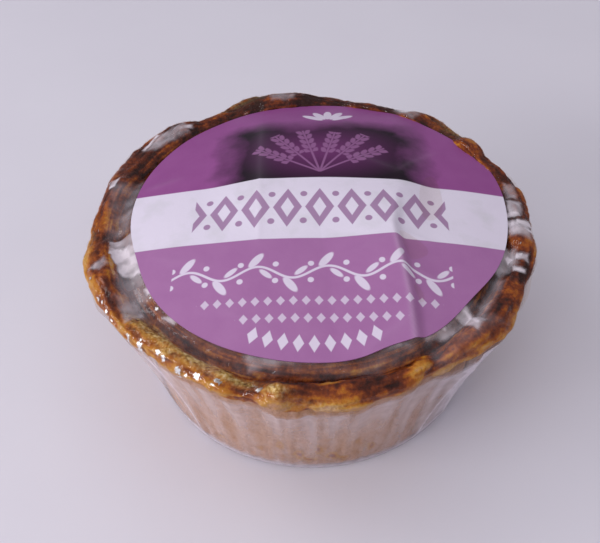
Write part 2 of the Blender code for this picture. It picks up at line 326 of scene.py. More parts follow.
def smooth(start, end, value):
    """Return 0 before start and 1 after end, with a smooth rise between."""
    share = min(max((value - start) / (end - start), 0.0), 1.0)
    return share * share * (3.0 - 2.0 * share)


def window(value, rise_start, rise_end, fall_start, fall_end):
    """Return 1 between a smooth rise and a smooth fall, and 0 outside them."""
    return smooth(rise_start, rise_end, value) * (1.0 - smooth(fall_start, fall_end, value))


def bell(distance, width):
    """Return a bump that is 1 at no distance and fades over the width."""
    return math.exp(-(distance / width) ** 2)


def turn_between(azimuth, centre):
    """Return the shortest turn from a centre to an azimuth, in degrees."""
    return (azimuth - centre + 180.0) % 360.0 - 180.0


def hump(azimuth, centre, width):
    """Return a bump that is 1 at its centre and fades over the width, either way round."""
    return bell(turn_between(azimuth, centre), width)


def humps(azimuth, table):
    """Return the sum of the bumps in a table of centre, width and rise."""
    return sum(rise * hump(azimuth, centre, width) for centre, width, rise in table)


def turned(across, up, degrees):
    """Return a place in a frame turned by an angle about the origin."""
    cosine = math.cos(math.radians(degrees))
    sine = math.sin(math.radians(degrees))
    return across * cosine + up * sine, up * cosine - across * sine


def round_trip(steps):
    """Return the azimuths of the points of one ring."""
    return [360.0 * step / steps for step in range(steps)]


def around(radius, azimuth, height):
    """Return a point at a radius and an azimuth from the pie's axis."""
    angle = math.radians(azimuth)
    return (radius * math.cos(angle), radius * math.sin(angle), height)


def loft(name, rings):
    """Join rings that run outwards and down into one skin, facing out. The ends may be points."""
    vertices = []
    starts = []
    for ring in rings:
        starts.append(len(vertices))
        vertices.extend([(x * MM, y * MM, z * MM) for x, y, z in ring])
    steps = max(len(ring) for ring in rings)
    faces = []
    for index in range(len(rings) - 1):
        inner, outer = starts[index], starts[index + 1]
        for step in range(steps):
            after = (step + 1) % steps
            if len(rings[index]) == 1:
                faces.append((inner, outer + step, outer + after))
            elif len(rings[index + 1]) == 1:
                faces.append((inner + step, outer, inner + after))
            else:
                faces.append((inner + step, outer + step, outer + after, inner + after))
    mesh = bpy.data.meshes.new(name)
    mesh.from_pydata(vertices, [], faces)
    mesh.shade_smooth()
    piece = bpy.data.objects.new(name, mesh)
    bpy.context.scene.collection.objects.link(piece)
    return piece


def paint(piece, name, values):
    """Keep one number for each point of a piece, for its material to read."""
    attribute = piece.data.attributes.new(name, "FLOAT", "POINT")
    attribute.data.foreach_set("value", values)


# The label's form


def fold_place(up):
    """Return how far across the label the fold's crest lies, at a height up the label."""
    if up <= FOLD_LINE[0][0]:
        return FOLD_LINE[0][1]
    for (low, low_place), (high, high_place) in zip(FOLD_LINE, FOLD_LINE[1:]):
        if up <= high:
            return mix(low_place, high_place, (up - low) / (high - low))
    return FOLD_LINE[-1][1]


def fold_rise(across, up):
    """Return the rise of the label's fold: a slow climb from the left and a quick drop."""
    past = across - fold_place(up)
    if past < 0.0:
        form = max(1.0 + past / FOLD_RUN_UP, 0.0) ** 1.3
    else:
        form = mix(1.0, FOLD_REST, smooth(0.0, FOLD_DROP_WIDTH, past))
        form *= 1.0 - 0.5 * smooth(10.0, 40.0, past)
    along = (1.0 - smooth(-16.0, 4.0, up)) * mix(0.65, 1.0, smooth(-50.0, -20.0, up))
    return FOLD_RISE * form * along


def plateau_rise(across, up):
    """Return the rise of the label's flat middle above the dome."""
    right = fold_place(up)
    form = window(across, *PLATEAU_LEFT, right, right + PLATEAU_RIGHT_WIDTH)
    height = mix(PLATEAU_RISE_FRONT, PLATEAU_RISE, smooth(-14.0, 2.0, up))
    return height * form * (1.0 - smooth(30.0, 50.0, up))


def label_frame(x, y):
    """Return a point's place across and up the label, from its place in plan."""
    return turned(x - LABEL_CENTRE[0], y - LABEL_CENTRE[1], LABEL_TURN)


def label_height(x, y):
    """Return the height of the label's upper face, without its small creases."""
    across, up = label_frame(x, y)
    height = LABEL_TOP
    height -= DROP_ACROSS * (across / LABEL_RADIUS) ** 2 + DROP_UP * (up / LABEL_RADIUS) ** 2
    return height + plateau_rise(across, up) + fold_rise(across, up)


def label_point(radius, azimuth):
    """Return a point of the label's upper face, by distance and direction from its middle."""
    angle = math.radians(azimuth)
    x = LABEL_CENTRE[0] + radius * math.cos(angle)
    y = LABEL_CENTRE[1] + radius * math.sin(angle)
    return (x, y, label_height(x, y))


# The rim's form


def crest_rise(azimuth):
    """Return how far the rim's crest stands above its mean height."""
    angle = math.radians(azimuth)
    crimps = CRIMP_RISE * math.sin(CRIMPS * angle + 1.7 * math.sin(3.0 * angle))
    return humps(azimuth, RIM_LUMPS) + crimps


class Rim:
    """The rolled rim at one azimuth: its crest, its outermost edge and its height."""

    def __init__(self, azimuth):
        """Measure the rim, whose lobes reach past its mean radius."""
        reach = humps(azimuth, RIM_LOBES)
        self.azimuth = azimuth
        self.crest = CREST_RADIUS + CREST_FOLLOWS * reach
        self.outer = RIM_RADIUS + reach
        self.top = CREST_HEIGHT + crest_rise(azimuth)

    def roll(self, angle, inset=0.0):
        """Return the radius and height at an angle counted outwards from the crest."""
        turn = math.radians(angle)
        radius = self.crest + (self.outer - self.crest - inset) * math.sin(turn)
        height = RIM_HEIGHT + (self.top - RIM_HEIGHT - inset) * math.cos(turn)
        return radius, height


def patch(azimuth, across, centre, middle, width, tallness):
    """Return a bump round a place on the crust, which fades along the rim and across it."""
    return hump(azimuth, centre, width) * bell(across - middle, tallness)


def flake_reach(azimuth, height):
    """Return how far the flakes under the rim push the film out."""
    reach = 0.0
    for centre, width, middle, tallness, rise in RIM_FLAKES:
        reach += rise * patch(azimuth, height, centre, middle, width, tallness)
    return reach


def cloud(azimuth, across, along_size, across_size, seed):
    """Return noise from -1 to 1 that runs round the rim, with its own size along and across."""
    angle = math.radians(azimuth)
    scale = CREST_RADIUS / along_size
    place = (scale * math.cos(angle), scale * math.sin(angle), across / across_size + seed)
    return noise.noise(Vector(place))


def clouds(azimuth, across, layers):
    """Return the sum of layers of noise, each with a strength, a size along and across, and a seed."""
    return sum(strength * cloud(azimuth, across, *layer) for strength, *layer in layers)


def rim_share(station):
    """Return 1 over the groove and the rim, and 0 over the lid and the wall."""
    return window(station, LID_EDGE - 0.5, LID_EDGE + 0.5, LIP + 0.5, WALL_TOP)


def crust_relief(azimuth, station, distance):
    """Return how far the crust stands out of its section, where distance runs along the section."""
    rim = rim_share(station)
    wall = window(station, WALL_TOP - 0.5, WALL_TOP + 0.5, FOOT - 0.2, FOOT + 0.6)
    relief = 0.0
    if rim > 0.0:
        relief += rim * (clouds(azimuth, distance, RIM_GRAINS) + rim_fold(azimuth, station))
        relief += CRUMB_RISE * crumb_of(azimuth, station) * cloud(azimuth, distance, 0.9, 0.9, 88.1)
    if wall > 0.0:
        relief += wall * rib_relief(azimuth, distance)
    return relief


def rim_fold(azimuth, station):
    """Return the rise of the folds that cross the rim, with a shallow valley beside each."""
    share = (station - GROOVE) / (LIP - GROOVE)
    strength = window(share, *RIM_FOLD_WINDOW)
    rise = 0.0
    if strength > 0.0:
        for at_groove, at_lip, width, height in RIM_FOLDS:
            away = turn_between(azimuth, mix(at_groove, at_lip, share))
            if abs(away) < 4.0 * width:
                valley = RIM_VALLEY_DEPTH * bell(away - RIM_VALLEY_OFFSET * width, width)
                rise += height * (bell(away, width) - valley)
    return rise * strength


def proud_relief(azimuth, station, distance):
    """Return how far bubbles and lumps of crust push the film out."""
    rise = 0.0
    for centre, middle, width, tallness, height in CRUST_LUMPS:
        away = math.hypot(turn_between(azimuth, centre) / width, (station - middle) / tallness)
        if away < 2.0:
            away *= 1.0 + 0.3 * cloud(azimuth, 3.0 * station, 1.8, 1.8, centre)
            rise += height * math.exp(-away ** 4)
    strength = hump(azimuth, *BUBBLE_ARC) * window(station, *BUBBLE_WINDOW)
    if strength > 0.01:
        rise += BUBBLE_RISE * strength * clouds(azimuth, distance, BUBBLE_GRAINS)
    return rise


def rib_relief(azimuth, distance):
    """Return the relief of the ribs down the wall, which are broken and uneven."""
    drift = 2.2 * cloud(azimuth, distance, 14.0, 30.0, 7.7)
    ribs = math.sin(RIB_COUNT * math.radians(azimuth) + drift)
    strength = 0.65 + 0.6 * cloud(azimuth, distance, 6.0, 9.0, 23.9)
    return RIB_RISE * strength * ribs + clouds(azimuth, distance, WALL_GRAINS)


# The crust


def crust_section(rim):
    """Return the crust's section at one azimuth as (radius, height) at each station."""
    crest, top = rim.roll(0.0, CRUST_INSET)
    shoulder, shoulder_height = rim.roll(40.0, CRUST_INSET)
    outer, outer_height = rim.roll(90.0, CRUST_INSET)
    outer -= humps(rim.azimuth, CRUST_DENTS)
    return (
        (0.0, 50.0), (25.0, 48.9), (40.0, 46.3), (45.0, 44.9), (47.3, 44.0), (49.3, 41.8),
        (51.2, mix(41.8, top, 0.62)), (crest - 0.4, top), (shoulder, shoulder_height),
        (outer, outer_height), (outer - 1.1, 41.7), (outer - 3.6, 40.2), (50.6, 37.0),
        (49.4, 28.0), (47.9, 15.0), (46.7, 3.6), (46.2, 1.2), (40.0, 0.3), (0.0, 0.3),
    )


def curve_weights(places, count):
    """Return, for each place along a curve of control points, four indices and their weights."""
    weights = []
    for place in places:
        index = min(int(place), count - 2)
        t = place - index
        near = [min(max(index + step, 0), count - 1) for step in (-1, 0, 1, 2)]
        shares = (
            -0.5 * t + t * t - 0.5 * t ** 3,
            1.0 - 2.5 * t * t + 1.5 * t ** 3,
            0.5 * t + 2.0 * t * t - 1.5 * t ** 3,
            -0.5 * t * t + 0.5 * t ** 3,
        )
        weights.append(list(zip(near, shares)))
    return weights


def crust_places():
    """Return the stations at which the crust has rings."""
    places = [0.0]
    for start, end, count in CRUST_RINGS:
        places.extend([mix(start, end, (step + 1) / count) for step in range(count)])
    return places


def section_place(section, weights):
    """Return the radius and height at a place along a section."""
    radius = sum(share * section[near][0] for near, share in weights)
    height = sum(share * section[near][1] for near, share in weights)
    return radius, height


def crust_point(rim, section, weights, index, places):
    """Return one point of the crust and its relief."""
    radius, height = section_place(section, weights[index])
    ahead = section_place(section, weights[min(index + 1, len(places) - 1)])
    behind = section_place(section, weights[max(index - 1, 0)])
    run = (ahead[0] - behind[0], ahead[1] - behind[1])
    length = math.hypot(*run) or 1.0
    distance = radius - height
    relief = crust_relief(rim.azimuth, places[index], distance)
    if CREST - 0.6 < places[index] < LIP + 0.4:
        relief = min(relief, CRUST_INSET)
    relief += proud_relief(rim.azimuth, places[index], distance)
    flake = FLAKE_SHARE * flake_reach(rim.azimuth, height) * window(places[index], *FLAKE_WINDOW)
    radius += -run[1] / length * relief + flake
    height += run[0] / length * relief
    return around(max(radius, 0.0), rim.azimuth, height), relief


def bake_and_shade_of(azimuth, station, relief):
    """Return how baked the crust is at a point, from 0, pale, to 1, nearly burnt, with painted shade:
    darker hollows, paler raised places.
    """
    index = min(int(station), len(STATION_BAKE) - 2)
    bake_and_shade = mix(STATION_BAKE[index], STATION_BAKE[index + 1], station - index)
    bake_and_shade += sum(change * patch(azimuth, station, *place) for *place, change in BAKE_AND_SHADE_PATCHES)
    rim = rim_share(station)
    bake_and_shade += rim * clouds(azimuth, station, RIM_BAKE_GRAINS)
    if station < CREST + 0.5:
        bake_and_shade += (1.0 - smooth(6.6, 7.4, station)) * clouds(azimuth, station, GROOVE_STREAKS)
    if station > LIP + 1.0:
        bake_and_shade += wall_bake(azimuth, station)
    # Painted shade: the crust is darker in its hollows and paler where it stands out.
    return bake_and_shade - rim * RELIEF_SHADING * min(relief, CRUST_INSET)


def wall_bake(azimuth, station):
    """Return how the wall's baking varies: faint upright streaks, and darker spots at the foot."""
    height = WALL_STATION * station
    bake_and_shade = 0.17 * cloud(azimuth + 0.12 * height, height, 2.1, 16.0, 12.5)
    bake_and_shade += clouds(azimuth, height, WALL_BAKE_GRAINS)
    for centre, middle, width, tallness, rise in BAKE_SPOTS:
        if abs(station - middle) < 4.0 * tallness:
            bake_and_shade += rise * patch(azimuth, station, centre, middle, width, tallness)
    return bake_and_shade


def crumb_of(azimuth, station):
    """Return how dry and crumbly the crust is at a point."""
    return min(sum(amount * patch(azimuth, station, *place) for *place, amount in CRUMB_PATCHES), 1.0)


def crust_rings(rims, places):
    """Return the crust's rings, with how baked each point is, painted shade included, and how crumbly
    it is.
    """
    sections = [crust_section(rim) for rim in rims]
    weights = curve_weights(places, len(sections[0]))
    rings = []
    bakes_and_shades = []
    crumbs = []
    for index, station in enumerate(places):
        count = 1 if index in (0, len(places) - 1) else len(rims)
        ring = []
        for rim, section in zip(rims[:count], sections):
            point, relief = crust_point(rim, section, weights, index, places)
            ring.append(point)
            bakes_and_shades.append(bake_and_shade_of(rim.azimuth, station, relief))
            crumbs.append(crumb_of(rim.azimuth, station))
        rings.append(ring)
    return rings, bakes_and_shades, crumbs


def make_crust(rings, bakes_and_shades, crumbs):
    """Make the pie itself: lid, groove, rolled rim, ribbed wall and base."""
    piece = loft("pie_crust", rings)
    paint(piece, "bake_and_shade", bakes_and_shades)
    paint(piece, "crumb", crumbs)
    return piece


# The film


def film_below(point):
    """Return the film's place just below a point of the label's upper face."""
    x, y, height = point
    return (x, y, height - PAPER_THICKNESS - PAPER_LIFT)


def film_roll_point(rim, ridge, angle):
    """Return a point of the film on the rim, which lies on the crust's high places."""
    radius, height = rim.roll(angle)
    turn = math.radians(angle)
    out, up = math.sin(turn), math.cos(turn)
    push = FILM_SINK
    for near, level in ridge:
        if abs((near - radius) * up - (level - height) * out) < HUG_REACH:
            push = max(push, (near - radius) * out + (level - height) * up + FILM_GAP)
    return around(radius + push * out, rim.azimuth, height + push * up)


def film_groove_ring(rims, ridges, share):
    """Return one ring of the film that spans the groove."""
    ring = []
    belly = 4.0 * share * (1.0 - share)
    for rim, ridge in zip(rims, ridges):
        inner = film_below(label_point(LABEL_RADIUS, rim.azimuth))
        outer = film_roll_point(rim, ridge, 0.0)
        span = math.dist(inner[:2], outer[:2])
        height = mix(inner[2], outer[2], smooth(0.0, 1.0, share)) - GROOVE_SAG * span * belly
        height += belly * clouds(rim.azimuth, share * span, GROOVE_FILM_GRAINS)
        height += belly * 0.12 * crinkle(rim.azimuth, share * span)
        x = mix(inner[0], outer[0], share)
        y = mix(inner[1], outer[1], share)
        below = ridges[round(math.degrees(math.atan2(y, x)) * CRUST_STEPS / 360.0) % CRUST_STEPS]
        height = max(height, crust_top(below, math.hypot(x, y)) + FILM_GAP)
        ring.append((x, y, height))
    return ring


def crust_ridges(rings, places):
    """Return, for each azimuth, the crust's points on the rim as (radius, height)."""
    near = [ring for ring, place in zip(rings, places) if LID_EDGE - 1 < place < LIP + 0.5]
    return [[(math.hypot(x, y), z) for x, y, z in column] for column in zip(*near)]


def crust_top(ridge, radius):
    """Return the crust's height beside the film, at a radius."""
    return max((height for out, height in ridge if abs(out - radius) < RIDGE_REACH), default=0.0)


def crinkle(azimuth, across):
    """Return sharp little wrinkles of the film, from -1 to 1."""
    return 1.0 - 4.0 * abs(cloud(azimuth, across, 2.4, 3.4, 91.9))


class Facet:
    """A facet of the creased film, milky and painted pale as a reflection, with straight sides in plan.
    """

    def __init__(self, strength, softness, *corners):
        """Place the corners, which are given by azimuth and radius."""
        self.strength = strength
        self.softness = softness
        self.corners = [around(radius, azimuth, 0.0)[:2] for azimuth, radius in corners]
        self.middle = [sum(place) / len(corners) for place in zip(*self.corners)]
        self.reach = max(math.dist(corner, self.middle) for corner in self.corners) + 2.0 * softness

    def depth(self, x, y):
        """Return how deep inside the facet a place lies, below 0 outside it."""
        depths = []
        for start, end in zip(self.corners, self.corners[1:] + self.corners[:1]):
            run = (end[0] - start[0], end[1] - start[1])
            length = math.hypot(*run)
            inside = (self.middle[0] - start[0]) * run[1] - (self.middle[1] - start[1]) * run[0]
            beside = (x - start[0]) * run[1] - (y - start[1]) * run[0]
            depths.append(math.copysign(beside, beside * inside) / length)
        return min(depths)

    def film_pallor(self, x, y):
        """Return how pale the facet makes the film at a place: milkiness and painted reflection."""
        if math.dist((x, y), self.middle) > self.reach:
            return 0.0
        ragged = 0.4 * noise.noise(Vector((x / 1.8, y / 1.8, self.middle[0])))
        cover = smooth(-self.softness, self.softness, self.depth(x, y) + ragged)
        return self.strength * cover * (0.85 + 0.5 * noise.noise(Vector((x / 2.6, y / 2.6, 9.7))))


def facet_pallor(facets, ring):
    """Return how pale the facets make the film at each point of a ring over the lid's edge and the rim,
    painted reflection included.
    """
    return [max(facet.film_pallor(x, y) for facet in facets) for x, y, height in ring]


def glints_of(ring):
    """Return, for each point of a ring over the rim, how much a flat of the film shines there."""
    glints = []
    for x, y, height in ring:
        glint = 0.0
        for azimuth, radius, size in FILM_GLINTS:
            along, across = turned(x, y, azimuth)
            away = math.hypot(along - radius, across * GLINT_SLIMNESS) / (size * GLINT_SLIMNESS)
            if away < 2.5:
                glint = max(glint, bell(away, 1.0))
        glints.append(glint)
    return glints


def pleat_reach(azimuth, height):
    """Return how far the film's pleats stand out of the side, each with a sharp edge."""
    reach = 0.0
    for at_rim, at_base, width, rise in FILM_PLEATS:
        away = turn_between(azimuth, mix(at_base, at_rim, height / RIM_HEIGHT))
        if abs(away) < 4.0 * width:
            edge = math.exp(-abs(away) / (PLEAT_SHARPNESS * width))
            reach += rise * (edge - PLEAT_VALLEY_DEPTH * bell(away - width, width))
    return reach * window(height, 0.0, PLEAT_FOOT, RIM_HEIGHT - PLEAT_HEAD, RIM_HEIGHT)


def film_side_ring(rims, tops, share):
    """Return one ring of the taut side of the film."""
    ring = []
    belly = 4.0 * share * (1.0 - share)
    for rim, top in zip(rims, tops):
        height = mix(top[2], BASE_EDGE_HEIGHT, share)
        radius = mix(math.hypot(top[0], top[1]), BASE_RADIUS, share) - SIDE_HOLLOW * belly
        radius += flake_reach(rim.azimuth, height) + pleat_reach(rim.azimuth, height)
        radius += belly * 0.10 * cloud(rim.azimuth, height, 3.0, 40.0, 29.3)
        ring.append(around(radius, rim.azimuth, height))
    return ring


def side_haze(azimuth, height):
    """Return how milky the side of the film is: streaks, pleat lines and a paler foot."""
    film_pallor = SIDE_MILK + STREAK_MILK * cloud(azimuth, height, 3.0, 30.0, 13.9)
    film_pallor += UPPER_MILK * smooth(16.0, 34.0, height) + FOOT_MILK * (1.0 - smooth(0.0, 5.0, height))
    film_pallor += CREASED_MILK * hump(azimuth, *CREASED_STRETCH)
    for at_rim, at_base, width, rise in FILM_PLEATS:
        away = turn_between(azimuth, mix(at_base, at_rim, height / RIM_HEIGHT))
        if abs(away) < 3.0:
            film_pallor += PLEAT_MILK * rise * bell(away, 0.6)
    return film_pallor * (1.0 - smooth(39.0, 42.5, height))


def film_upper_rings(rims, ridges):
    """Return the film's rings under the label, over the groove and over the rim."""
    rings = []
    for radius in FILM_LID_RADII:
        rings.append([film_below(label_point(radius, azimuth)) for azimuth in round_trip(CRUST_STEPS)])
    for ring in range(1, FILM_GROOVE_RINGS):
        rings.append(film_groove_ring(rims, ridges, ring / FILM_GROOVE_RINGS))
    for ring in range(FILM_ROLL_RINGS + 1):
        angle = ROLL_END * ring / FILM_ROLL_RINGS
        rings.append([film_roll_point(rim, ridge, angle) for rim, ridge in zip(rims, ridges)])
    return rings


def upper_pallor(rings):
    """Return how pale the film is at each point of its upper rings, painted reflections included. The
    facets fade down the roll.
    """
    facets = [Facet(*facet) for facet in MILK_AND_REFLECTION_FACETS]
    first_on_roll = len(rings) - FILM_ROLL_RINGS - 1
    pallors = []
    for index, ring in enumerate(rings):
        angle = ROLL_END * (index - first_on_roll) / FILM_ROLL_RINGS
        clear = smooth(*FACETS_FADE, angle)
        pallors.extend([film_pallor * (1.0 - clear) for film_pallor in facet_pallor(facets, ring)])
    return pallors


def make_film(rims, ridges):
    """Make the clear film: under the label, over the groove and the rim, and down to the base."""
    upper = film_upper_rings(rims, ridges)
    shares = [(ring / FILM_SIDE_RINGS) ** FILM_SIDE_CROWDING for ring in range(1, FILM_SIDE_RINGS + 1)]
    side = [film_side_ring(rims, upper[-1], share) for share in shares]
    foot = [around(BASE_RADIUS - BASE_EDGE_INSET, rim.azimuth, 0.0) for rim in rims]
    piece = loft("film", [[film_below(label_point(0.0, 0.0))], *upper, *side, foot, [(0.0, 0.0, 0.0)]])
    pallors = [0.0] + upper_pallor(upper)
    for ring in side:
        pallors.extend([side_haze(rim.azimuth, point[2]) for rim, point in zip(rims, ring)])
    glints = [0.0] + [glint for ring in upper for glint in glints_of(ring)]
    for name, values in (("film_pallor", pallors), ("glint", glints)):
        paint(piece, name, values + [0.0] * (len(piece.data.vertices) - len(values)))
    return piece


# The label's sheet


def crease_rise(across, up):
    """Return the rise of the paper's small creases at a place on the label."""
    rise = 0.0
    for (start_across, start_up), (end_across, end_up), height, width in PAPER_CREASES:
        run = (end_across - start_across, end_up - start_up)
        offset = (across - start_across, up - start_up)
        length = math.hypot(*run)
        along = (offset[0] * run[0] + offset[1] * run[1]) / length
        beside = (offset[0] * run[1] - offset[1] * run[0]) / length
        ends = window(along, -3.0, 4.0, length - 4.0, length + 3.0)
        rise += height * ends * math.exp(-abs(beside) / width)
    return rise


def sheet_point(radius, azimuth):
    """Return a point of the paper's upper face, with its creases and gentle waves."""
    x, y, height = label_point(radius, azimuth)
    across, up = label_frame(x, y)
    wave = 0.16 * noise.noise(Vector((across / 13.0, up / 13.0, 4.2)))
    return (x, y, height + wave + crease_rise(across, up))


def sheet_edge(azimuth):
    """Return the sheet's radius: a circle, drawn in beside the fold and lying out at the right."""
    return LABEL_RADIUS + humps(azimuth, EDGE_WAVES)


def fold_wear_and_highlight(across, up):
    """Return how much paler the print is along the fold and the small creases: worn print and a painted
    highlight.
    """
    past = across - fold_place(up)
    along = (1.0 - smooth(-18.0, -6.0, up)) * bell(past, 0.7)
    return min(0.3 * along + 0.3 * crease_rise(across, up), 1.0)


def make_label():
    """Make the paper label as one thin creased sheet with a crisp edge."""
    rings = [[sheet_point(0.0, 0.0)]]
    for ring in range(1, LABEL_RINGS + 1):
        share = ring / LABEL_RINGS
        rings.append([sheet_point(share * sheet_edge(a), a) for a in round_trip(LABEL_STEPS)])
    for ring in reversed(rings[:]):
        rings.append([(x, y, z - PAPER_THICKNESS) for x, y, z in ring])
    piece = loft("paper_label", rings)
    piece.data.set_sharp_from_angle(angle=math.radians(SHEET_EDGE_ANGLE))
    places = [label_frame(x, y) for ring in rings for x, y, height in ring]
    paint(piece, "wear_and_highlight", [fold_wear_and_highlight(*place) for place in places])
    return piece


# Materials


class Value:
    """A number that varies over a surface, so that node arithmetic reads like plain arithmetic."""

    def __init__(self, tree, socket):
        """Wrap an output socket of a node tree."""
        self.tree = tree
        self.socket = socket

    def math(self, operation, *others):
        """Return the result of a Math node on this value and others."""
        node = self.tree.nodes.new("ShaderNodeMath")
        node.operation = operation
        for place, value in enumerate((self, *others)):
            feed(self.tree, value, node.inputs[place])
        return Value(self.tree, node.outputs[0])

    def __add__(self, other):
        return self.math("ADD", other)

    def __sub__(self, other):
        return self.math("SUBTRACT", other)

    def __mul__(self, other):
        return self.math("MULTIPLY", other)

    def __truediv__(self, other):
        return self.math("DIVIDE", other)

    def __abs__(self):
        return self.math("ABSOLUTE")

    def wrap(self, pitch):
        """Return the distance from the nearest of many marks, a pitch apart."""
        return self.math("WRAP", 0.5 * pitch, -0.5 * pitch)

    def larger(self, other):
        """Return the larger of two values."""
        return self.math("MAXIMUM", other)

    def smaller(self, other):
        """Return the smaller of two values."""
        return self.math("MINIMUM", other)

    def ramp(self, low, high):
        """Return 0 below low and 1 above high, with a straight rise between."""
        node = self.tree.nodes.new("ShaderNodeMapRange")
        node.inputs["From Min"].default_value = low
        node.inputs["From Max"].default_value = high
        feed(self.tree, self, node.inputs["Value"])
        return Value(self.tree, node.outputs["Result"])

    def inked(self, softness=0.22):
        """Return 1 where this distance is below 0 and 0 above it, with a soft edge."""
        return self.ramp(0.5 * softness, -0.5 * softness)


def feed(tree, value, socket):
    """Set a socket to a plain number or colour, or link a varying value to it."""
    if isinstance(value, Value):
        tree.links.new(value.socket, socket)
    else:
        socket.default_value = value


def srgb(red, green, blue):
    """Return a shader colour for a screen colour from 0 to 255."""
    channels = []
    for screen in (red, green, blue):
        level = screen / 255.0
        channels.append(level / 12.92 if level <= 0.04045 else ((level + 0.055) / 1.055) ** 2.4)
    return (*channels, 1.0)


def new_material(name):
    """Return a material's node tree and its surface shader, with the material itself."""
    material = bpy.data.materials.new(name)
    material.use_nodes = True
    return material, material.node_tree, material.node_tree.nodes["Principled BSDF"]


def object_place(tree):
    """Return the x, y and z of a surface point in millimetres."""
    texture = tree.nodes.new("ShaderNodeTexCoord")
    split = tree.nodes.new("ShaderNodeSeparateXYZ")
    tree.links.new(texture.outputs["Object"], split.inputs[0])
    return [Value(tree, split.outputs[axis]) * (1.0 / MM) for axis in range(3)]


def stored(tree, name):
    """Return a number that the piece keeps for each of its points."""
    node = tree.nodes.new("ShaderNodeAttribute")
    node.attribute_name = name
    return Value(tree, node.outputs["Fac"])


def grain(tree, size, detail=3.0):
    """Return noise from 0 to 1 with grains of a size in millimetres."""
    texture = tree.nodes.new("ShaderNodeTexCoord")
    speckle = tree.nodes.new("ShaderNodeTexNoise")
    speckle.inputs["Scale"].default_value = 1.0 / (size * MM)
    speckle.inputs["Detail"].default_value = detail
    tree.links.new(texture.outputs["Object"], speckle.inputs["Vector"])
    return Value(tree, speckle.outputs["Fac"])


def blend(tree, share, first, second):
    """Return a colour a share of the way from the first to the second."""
    node = tree.nodes.new("ShaderNodeMix")
    node.data_type = "RGBA"
    feed(tree, share, node.inputs["Factor"])
    feed(tree, first, node.inputs["A"])
    feed(tree, second, node.inputs["B"])
    return Value(tree, node.outputs["Result"])


def shades(tree, value, stops):
    """Return a colour from a ramp of (place, colour) stops."""
    node = tree.nodes.new("ShaderNodeValToRGB")
    ramp = node.color_ramp
    while len(ramp.elements) < len(stops):
        ramp.elements.new(1.0)
    for element, (place, colour) in zip(ramp.elements, stops):
        element.position = place
        element.color = colour
    feed(tree, value, node.inputs["Fac"])
    return Value(tree, node.outputs["Color"])


def raise_surface(tree, surface, height, distance):
    """Give a shader a bump from a height, for a rise of a distance in millimetres."""
    bump = tree.nodes.new("ShaderNodeBump")
    bump.inputs["Distance"].default_value = distance * MM
    feed(tree, height, bump.inputs["Height"])
    tree.links.new(bump.outputs["Normal"], surface.inputs["Normal"])


def crust_material():
    """Return the baked pastry: pale wall, golden and brown rim, darker in hollows and nearly black in a
    hole of the groove, both painted shade.
    """
    material, tree, surface = new_material("baked_pastry")
    flecks = grain(tree, 0.9, detail=5.0) - 0.5
    blotches = grain(tree, 3.5, detail=5.0) - 0.5
    # The stored bake also carries painted shade and a painted highlight, as well as the baking.
    stored_bake_and_shade = stored(tree, "bake_and_shade")
    bake_and_shade = stored_bake_and_shade + (flecks * 0.55 + blotches * 0.40) * (stored_bake_and_shade * 1.2 + 0.25).smaller(1.0)
    toast = shades(tree, bake_and_shade, (
        (0.00, srgb(205, 165, 142)), (0.16, srgb(188, 142, 108)), (0.30, srgb(196, 144, 64)),
        (0.42, srgb(182, 116, 34)), (0.54, srgb(156, 84, 26)), (0.66, srgb(124, 58, 24)),
        (0.80, srgb(90, 38, 20)), (1.00, srgb(48, 20, 14)),
    ))
    crumbs = grain(tree, 0.8, detail=5.0)
    dry = shades(tree, crumbs, (
        (0.32, srgb(116, 84, 40)), (0.46, srgb(186, 148, 74)), (0.58, srgb(222, 192, 126)),
        (0.74, srgb(244, 228, 190)),
    ))
    crumbly = stored(tree, "crumb") * grain(tree, 2.2, detail=4.0).ramp(0.32, 0.46)
    colour = blend(tree, crumbly, toast, dry)
    feed(tree, colour, surface.inputs["Base Color"])
    feed(tree, stored(tree, "crumb").ramp(0.0, 1.0) * 0.3 + 0.42, surface.inputs["Roughness"])
    surface.inputs["Specular IOR Level"].default_value = 0.14
    raise_surface(tree, surface, grain(tree, 0.9, detail=5.0) + grain(tree, 2.2, detail=4.0), 0.4)
    return material


def mirror(tree, roughness):
    """Return a shader that only throws the light back."""
    shader = tree.nodes.new("ShaderNodeBsdfPrincipled")
    shader.inputs["Base Color"].default_value = (1.0, 1.0, 1.0, 1.0)
    shader.inputs["Metallic"].default_value = 1.0
    shader.inputs["Roughness"].default_value = roughness
    return shader


def film_skin(tree, facing):
    """Return the clean film: see-through, with a faint wrinkled gloss and flats that flash."""
    clear = tree.nodes.new("ShaderNodeBsdfTransparent")
    clear.inputs["Color"].default_value = (0.98, 0.96, 0.94, 1.0)
    gloss = mirror(tree, 0.09)
    raise_surface(tree, gloss, grain(tree, 2.6) + stored(tree, "film_pallor") * 0.5, 0.25)
    shine = facing.math("POWER", 5.0) * 0.16 + 0.032
    glint = (stored(tree, "glint") * 1.3 + grain(tree, 0.5) * 2.6 - 1.3).ramp(0.62, 0.82)
    return mixed(tree, glint * 0.9, mixed(tree, shine, clear, gloss), mirror(tree, 0.4))


